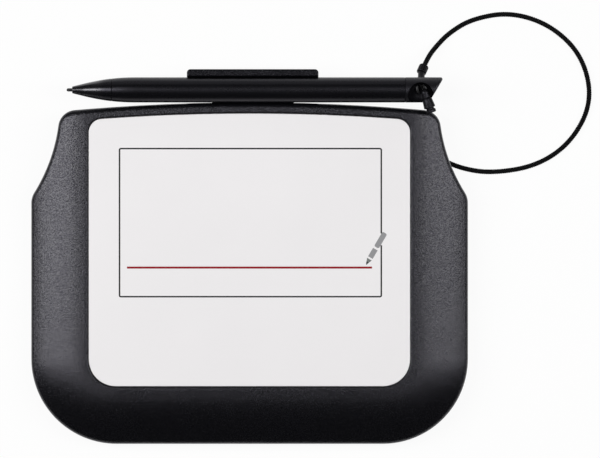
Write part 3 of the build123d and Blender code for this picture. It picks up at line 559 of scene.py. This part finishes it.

# %% [markdown]
# ## Writing plate
# The plate is white acrylic with a matt hard coat, so that the nib feels some drag. It is
# even to the eye, and one plain white would do from afar, but from near a faint haze and a
# very fine relief break its shine. Its cut edge is coloured near black as painted shade, so
# the narrow gap round it reads as a shaded black line. The height of a place tells the edge
# from the face, so the plate stays one piece.

# %% Finish of the plate
plate_finish, plate_shader, plate_places = blank_finish(
    "plate_coat", Specular_IOR_Level=0.4, Coat_Roughness=0.35
)
plate_haze = grain(plate_places, size=0.03)
plate_frost = grain(plate_places, size=0.00035)
# Below the face, the plate's side is coloured near black: painted shade for the narrow gap
# round the plate.
gap_shade_top, face_start = plate_level - 0.0003, plate_level - 0.0001
plate_face = soft_step(along_axis(plate_places, 2), gap_shade_top, face_start)
plate_white = between(plate_haze, shade(228, 226, 227), shade(233, 231, 232))
feed(
    plate_shader,
    Base_Color=between(plate_face, shade(14, 14, 15), plate_white),
    Roughness=plate_haze * 0.06 + plate_frost * 0.08 + 0.42,
    Normal=bumped(plate_frost, 0.00003, 0.5),
)
dress(plate_finish, "writing_plate")

# %% [markdown]
# ## Rubber, steel and the moulded cord ends
# Feet, screws and the cord's anchor are seen when the pad is turned over. Ferrule, sleeve
# and stopper hang at the pen. Rubber is matt with a dusty bloom, screws are zinc plated
# with faint marks from the tool, and all the cord's ends are a soft black plastic. Marks
# could be painted by hand, but noise drawn out along one axis gives them at any size.
# Where colour, roughness and relief follow one grain, a helper makes the whole finish.

# %% Finish of the feet
foot_finish, foot_shader, foot_places = blank_finish("foot_rubber", Specular_IOR_Level=0.3)
bloom = grain(foot_places, size=0.0035, detail=4.0, spread=0.6)
foot_pores = grain(foot_places, size=0.0003)
feed(
    foot_shader,
    Base_Color=between(soft_step(bloom, 0.35, 0.8), shade(22, 22, 23), shade(52, 51, 51)),
    Roughness=bloom * 0.15 + 0.72,
    Normal=bumped(foot_pores, 0.00008, 0.7),
)
dress(foot_finish, "foot_front_right", "foot_front_left", "foot_rear_right", "foot_rear_left")

# %% Finish of the screws
screw_finish, screw_shader, screw_places = blank_finish("screw_steel", Metallic=1.0)
brushed = drawn_out(screw_places, (1.0, 0.06, 1.0))
scratches = grain(brushed, size=0.00015, detail=3.0)
plating = grain(screw_places, size=0.0012)
feed(
    screw_shader,
    Base_Color=between(plating, shade(150, 150, 148), shade(196, 194, 188)),
    Roughness=scratches * 0.22 + 0.24,
    Normal=bumped(scratches, 0.00002, 0.5),
)
dress(screw_finish, "case_screws", "board_screws", "tray_screws")

# %% Finish of the cord's moulded ends
def grained(name, low, high, rough, relief, size, detail=2.0, spread=0.5, **constants):
    """A finish whose colour, roughness and relief all follow one grain.

    Rough is the roughness where the grain is lowest and what the grain adds. Relief is
    its depth in metres and its strength.
    """
    finish, shader, places = blank_finish(name, **constants)
    lumps = grain(places, size, detail, spread)
    feed(
        shader,
        Base_Color=between(lumps, low, high),
        Roughness=lumps * rough[1] + rough[0],
        Normal=bumped(lumps, relief[0], relief[1]),
    )
    return finish


end_finish = grained(
    "cord_end_plastic",
    low=shade(3, 3, 4),
    high=shade(8, 8, 10),
    rough=(0.30, 0.12),
    relief=(0.00006, 0.6),
    size=0.0004,
    Specular_IOR_Level=0.2,
    Specular_Tint=cool_gloss,
)
dress(end_finish, "tether_ferrule", "tether_sleeve", "tether_knot", "tether_anchor")

# %% [markdown]
# ## What the case hides
# The boards, the shield and the coil are out of sight in a closed pad, but a model that is
# opened shows them. They could share one grey, but then nobody would know one from the
# other. So each has a finish of its own kind: green lacquer with copper runs, crinkled
# foil, open foam, wound wire. A remainder repeats stripes at an even pitch.

# %% Finish of the boards
board_finish, board_shader, board_places = blank_finish("board_lacquer", Roughness=0.35)
run_pitch, line_pitch, trace_width = 0.0016, 0.0021, 0.0005
runs = (along_axis(board_places, 0) % run_pitch) < trace_width
lines = (along_axis(board_places, 1) % line_pitch) < trace_width
fields = soft_step(grain(board_places, size=0.006, detail=0.0), 0.46, 0.5)
traces = runs * fields + lines * (1 - fields)
feed(
    board_shader,
    Base_Color=between(traces, shade(18, 70, 44), shade(40, 112, 70)),
    Roughness=traces * 0.1 + 0.3,
    Normal=bumped(traces, 0.00004, 0.6),
)
dress(board_finish, "sensor_board", "controller_board", "pen_board")

# %% Finish of the chips and the connector
chip_finish = grained(
    "chip_epoxy",
    low=shade(26, 26, 28),
    high=shade(50, 50, 52),
    rough=(0.5, 0.2),
    relief=(0.00003, 0.6),
    size=0.0002,
    detail=3.0,
    Specular_IOR_Level=0.4,
)
dress(chip_finish, "controller_chips", "pen_pressure_module")

connector_finish = grained(
    "connector_nylon",
    low=shade(206, 198, 176),
    high=shade(226, 220, 202),
    rough=(0.45, 0.1),
    relief=(0.00003, 0.5),
    size=0.0006,
    Specular_IOR_Level=0.4,
)
dress(connector_finish, "cable_connector")

# %% Finish of the flat cable, the tape and the foam
film_finish, film_shader, film_places = blank_finish("cable_film", Specular_IOR_Level=0.5)
conductor_pitch, conductor_width = 0.001, 0.0006
conductors = (along_axis(film_places, 0) % conductor_pitch) < conductor_width
feed(
    film_shader,
    Base_Color=between(conductors, shade(226, 222, 210), shade(186, 128, 62)),
    Roughness=conductors * 0.05 + 0.3,
    Normal=bumped(conductors, 0.00005, 0.6),
)
dress(film_finish, "flat_cable")

tape_finish = grained(
    "tape_adhesive",
    low=shade(196, 190, 176),
    high=shade(226, 222, 212),
    rough=(0.4, 0.2),
    relief=(0.00006, 0.6),
    size=0.0009,
    detail=4.0,
    spread=0.7,
    Specular_IOR_Level=0.4,
)
dress(tape_finish, "plate_tape")

foam_finish, foam_shader, foam_places = blank_finish("foam_cells", Specular_IOR_Level=0.2)
cell_size = 0.0008
cells = foam_places.node(
    "ShaderNodeTexVoronoi", {}, {"Vector": foam_places, "Scale": 1 / cell_size}
)
feed(
    foam_shader,
    Base_Color=between(cells, shade(30, 30, 32), shade(72, 72, 76)),
    Roughness=cells * 0.1 + 0.85,
    Normal=bumped(cells, 0.0002, 0.8),
)
dress(foam_finish, "foam_pad")

# %% Finish of the shield and the socket
foil_finish = grained(
    "shield_foil",
    low=shade(176, 178, 180),
    high=shade(214, 215, 216),
    rough=(0.2, 0.2),
    relief=(0.0004, 0.6),
    size=0.004,
    detail=4.0,
    spread=0.6,
    Metallic=1.0,
)
dress(foil_finish, "shield_sheet")

socket_finish, socket_shader, socket_places = blank_finish("socket_nickel", Metallic=1.0)
rolling = grain(drawn_out(socket_places, (1.0, 0.1, 1.0)), size=0.0002, detail=3.0)
feed(
    socket_shader,
    Base_Color=between(rolling, shade(168, 168, 166), shade(204, 203, 200)),
    Roughness=rolling * 0.2 + 0.22,
    Normal=bumped(rolling, 0.00002, 0.5),
)
dress(socket_finish, "cable_socket")

# %% Finish of the coil and its core
wire_finish, wire_shader, wire_places = blank_finish("coil_copper", Metallic=0.9)
wire_pitch = 0.00016
windings = abs((along_axis(wire_places, 0) % wire_pitch) / (wire_pitch / 2) - 1.0)
feed(
    wire_shader,
    Base_Color=between(windings, shade(120, 56, 26), shade(204, 118, 68)),
    Roughness=0.42 - windings * 0.15,
    Normal=bumped(windings, 0.00006, 0.9),
)
dress(wire_finish, "pen_coil_winding")

core_finish = grained(
    "core_ferrite",
    low=shade(40, 41, 44),
    high=shade(70, 71, 75),
    rough=(0.4, 0.25),
    relief=(0.00003, 0.7),
    size=0.00015,
    detail=4.0,
    spread=0.7,
    Specular_IOR_Level=0.5,
)
dress(core_finish, "pen_coil_core")

# %% [markdown]
# ## Printed marks
# A thin frame on the plate shows where to sign, a red line is signed on, and a small pen
# sign points to it. They are printed, so a material mask would do, but its edges would
# blur in a baked picture. Thin pieces that stand a few hundredths of a millimetre proud
# stay sharp at any size. The right line of the frame stops where the sign lies on it.

# %% Helpers that model a piece
def start_fresh():
    """Back to object mode with nothing selected."""
    if bpy.context.object and bpy.context.object.mode != "OBJECT":
        bpy.ops.object.mode_set(mode="OBJECT")
    bpy.ops.object.select_all(action="DESELECT")


def settle(piece, body, finish):
    """Applies a piece's place, then gives it a finish and the body that it rides on."""
    start_fresh()
    piece.select_set(True)
    bpy.context.view_layer.objects.active = piece
    bpy.ops.object.transform_apply(location=True, rotation=True, scale=True)
    piece.data.materials.clear()
    piece.data.materials.append(finish)
    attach(piece, body)
    piece.select_set(False)
    print(piece.name, "faces:", len(piece.data.polygons))


# %% Ink that stands on the plate
ink_rise = 0.00003
corner_steps = 4


def raise_ink():
    """In edit mode, gives a flat shape its height, turns its faces out and leaves the mode."""
    bpy.ops.mesh.select_all(action="SELECT")
    bpy.ops.mesh.extrude_region_move(TRANSFORM_OT_translate={"value": (0, 0, ink_rise)})
    bpy.ops.mesh.select_all(action="SELECT")
    bpy.ops.mesh.normals_make_consistent(inside=False)
    bpy.ops.object.mode_set(mode="OBJECT")


def printed_bar(name, middle, length, width, end_round, turn=0.0):
    """A bar of ink with rounded corners. Its length lies along X before its turn."""
    start_fresh()
    bpy.ops.mesh.primitive_plane_add(size=1, location=(*middle, plate_level))
    bar = bpy.context.object
    bar.name = name
    bar.scale = (length, width, 1)
    bpy.ops.object.transform_apply(location=False, rotation=False, scale=True)
    bar.rotation_euler = (0, 0, turn)
    bpy.ops.object.mode_set(mode="EDIT")
    bpy.ops.mesh.select_all(action="SELECT")
    bpy.ops.mesh.bevel(offset=end_round, segments=corner_steps, affect="VERTICES")
    raise_ink()
    return bar


# %% Inks
def ink(name, low, high):
    """Screen ink: an even film with tiny pinholes and a soft gloss."""
    return grained(
        name,
        low,
        high,
        rough=(0.4, 0.1),
        relief=(0.00001, 0.5),
        size=0.0003,
        detail=3.0,
        Specular_IOR_Level=0.2,
    )


dark_ink = ink("ink_dark", shade(10, 11, 12), shade(20, 21, 22))
red_ink = ink("ink_red", shade(134, 4, 20), shade(146, 10, 28))
grey_ink = ink("ink_grey", shade(136, 136, 138), shade(148, 148, 150))
slate_ink = ink("ink_slate", shade(104, 108, 106), shade(118, 122, 120))
print("inks:", ", ".join(one.name for one in (dark_ink, red_ink, grey_ink, slate_ink)))

# %% Where the marks lie on the plate
plate_low, plate_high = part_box("writing_plate")
margin_left, margin_right = 0.01100, 0.01029
margin_front, margin_rear = 0.03244, 0.01254
red_rise = 0.01091

frame_low = (plate_low.x + margin_left, plate_low.y + margin_front)
frame_high = (plate_high.x - margin_right, plate_high.y - margin_rear)
frame_middle = [(low + high) / 2 for low, high in zip(frame_low, frame_high)]
frame_size = [high - low for low, high in zip(frame_low, frame_high)]
red_level = frame_low[1] + red_rise
print("frame:", [round(size, 4) for size in frame_size], "red line at", round(red_level, 4))

# %% Red signing line
red_length, red_width, red_round = 0.0895, 0.00076, 0.0002
red_inset = 0.00297

red_middle = (frame_low[0] + red_inset + red_length / 2, red_level)
red_line = printed_bar("print_red_line", red_middle, red_length, red_width, red_round)
settle(red_line, "pad", red_ink)

# %% Frame line with its gap
frame_width = 0.00055
frame_round, frame_corner_steps = 0.0008, 6
gap_rise, gap_length = 0.01910, 0.00427
gap_low = frame_low[1] + gap_rise
gap_high = gap_low + gap_length


def pick_faces(piece, wanted):
    """In edit mode, selects the faces that a test accepts and nothing else."""
    shape = bmesh.from_edit_mesh(piece.data)
    bpy.ops.mesh.select_mode(type="FACE")
    bpy.ops.mesh.select_all(action="DESELECT")
    for face in shape.faces:
        face.select_set(wanted(face))
    bmesh.update_edit_mesh(piece.data)


def in_gap(face):
    """True for a face of the right line that lies between the levels of the gap."""
    middle = face.calc_center_median()
    return gap_low < middle.y < gap_high and middle.x > frame_middle[0]


start_fresh()
bpy.ops.mesh.primitive_plane_add(size=1, location=(*frame_middle, plate_level))
frame_line = bpy.context.object
frame_line.name = "print_frame_line"
frame_line.scale = (*frame_size, 1)
bpy.ops.object.transform_apply(location=True, rotation=False, scale=True)
bpy.ops.object.mode_set(mode="EDIT")
bpy.ops.mesh.select_all(action="SELECT")
bpy.ops.mesh.bevel(offset=frame_round, segments=frame_corner_steps, affect="VERTICES")
bpy.ops.mesh.select_all(action="SELECT")
bpy.ops.mesh.inset(thickness=frame_width, use_even_offset=True)
bpy.ops.mesh.delete(type="FACE")
for level in (gap_low, gap_high):
    bpy.ops.mesh.select_all(action="SELECT")
    bpy.ops.mesh.bisect(plane_co=(0, level, 0), plane_no=(0, 1, 0))
pick_faces(frame_line, in_gap)
bpy.ops.mesh.delete(type="FACE")
raise_ink()
settle(frame_line, "pad", dark_ink)

# %% Pen sign, upper half: two straight sleeves
sign_inset, sign_rise = 0.00581, 0.00103
sign_point = Vector((frame_high[0] - sign_inset, red_level + sign_rise))
sign_lean = math.radians(30.5)
sign_way = Vector((math.sin(sign_lean), math.cos(sign_lean)))
sign_turn = math.pi / 2 - sign_lean
sign_width = 0.00193
sleeve_start, sleeve_end, sleeve_round = 0.00306, 0.00662, 0.00008
top_start, top_end, top_round = 0.00737, 0.0135, 0.0006


def sign_bar(name, start, end, end_round, width=sign_width):
    """A part of the sign between two distances from its point."""
    middle = sign_point + sign_way * (start + end) / 2
    return printed_bar(name, middle, end - start, width, end_round, sign_turn)


sign_sleeve = sign_bar("print_sign_middle", sleeve_start, sleeve_end, sleeve_round)
settle(sign_sleeve, "pad", grey_ink)
sign_top = sign_bar("print_sign_top", top_start, top_end, top_round)
settle(sign_top, "pad", grey_ink)

# %% Pen sign, lower half: a cone and its dark point
point_end, cone_end = 0.0011, 0.00238
tip_width, joint_width = sign_width * 0.06, sign_width * 0.5
wedge_round = 0.00004


def sign_wedge(name, start, end, width_start, width_end):
    """A tapered part of the sign: a bar whose end near the point is drawn in."""
    wedge = sign_bar(name, start, end, wedge_round, width_end)
    bpy.ops.object.mode_set(mode="EDIT")
    shape = bmesh.from_edit_mesh(wedge.data)
    bpy.ops.mesh.select_mode(type="VERT")
    bpy.ops.mesh.select_all(action="DESELECT")
    for vertex in shape.verts:
        vertex.select_set(vertex.co.x < 0)
    bmesh.update_edit_mesh(wedge.data)
    near = sign_point + sign_way * start
    bpy.ops.transform.resize(
        value=(1, width_start / width_end, 1),
        orient_type="LOCAL",
        center_override=(near.x, near.y, plate_level),
    )
    bpy.ops.object.mode_set(mode="OBJECT")
    return wedge


sign_cone = sign_wedge("print_sign_cone", point_end, cone_end, joint_width, sign_width)
settle(sign_cone, "pad", slate_ink)
sign_tip = sign_wedge("print_sign_point", 0.0, point_end, tip_width, joint_width)
settle(sign_tip, "pad", dark_ink)

# %% [markdown]
# ## Contacts in the cable socket
# Looking into the socket, a row of small gilt strips lies on its tongue. Stripes in the
# socket's finish would stay flat from near, where the edge of each real strip catches
# light. One strip is modelled, repeated in a row and given rounded edges.

# %% Gilt finish
gilt = grained(
    "contact_gilt",
    low=shade(196, 150, 62),
    high=shade(226, 186, 98),
    rough=(0.2, 0.15),
    relief=(0.00001, 0.5),
    size=0.0003,
    Metallic=1.0,
)
print(gilt.name, "made")

# %% Gilt strips on the tongue
strip_count, strip_pitch = 8, 0.0005
strip_width, strip_length, strip_height = 0.00025, 0.0038, 0.00008
strip_sunk = 0.00002
strip_round = 0.00003
tongue_half = 0.00055
mouth_setback = 0.0002

start_fresh()
socket_low, socket_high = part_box("cable_socket")
socket_middle = (socket_low + socket_high) / 2
first_strip = (
    socket_middle.x - strip_pitch * (strip_count - 1) / 2,
    socket_high.y - mouth_setback - strip_length / 2,
    socket_middle.z + tongue_half + strip_height / 2 - strip_sunk,
)
bpy.ops.mesh.primitive_cube_add(size=1, location=first_strip)
strips = bpy.context.object
strips.name = "socket_contacts"
strips.scale = (strip_width, strip_length, strip_height)
bpy.ops.object.transform_apply(location=True, rotation=False, scale=True)
row = strips.modifiers.new("row", "ARRAY")
row.count = strip_count
row.use_relative_offset = False
row.use_constant_offset = True
row.constant_offset_displace = (strip_pitch, 0, 0)
edge = strips.modifiers.new("edge", "BEVEL")
edge.width = strip_round
edge.segments = 2
for modifier in ("row", "edge"):
    bpy.ops.object.modifier_apply(modifier=modifier)
settle(strips, "pad", gilt)
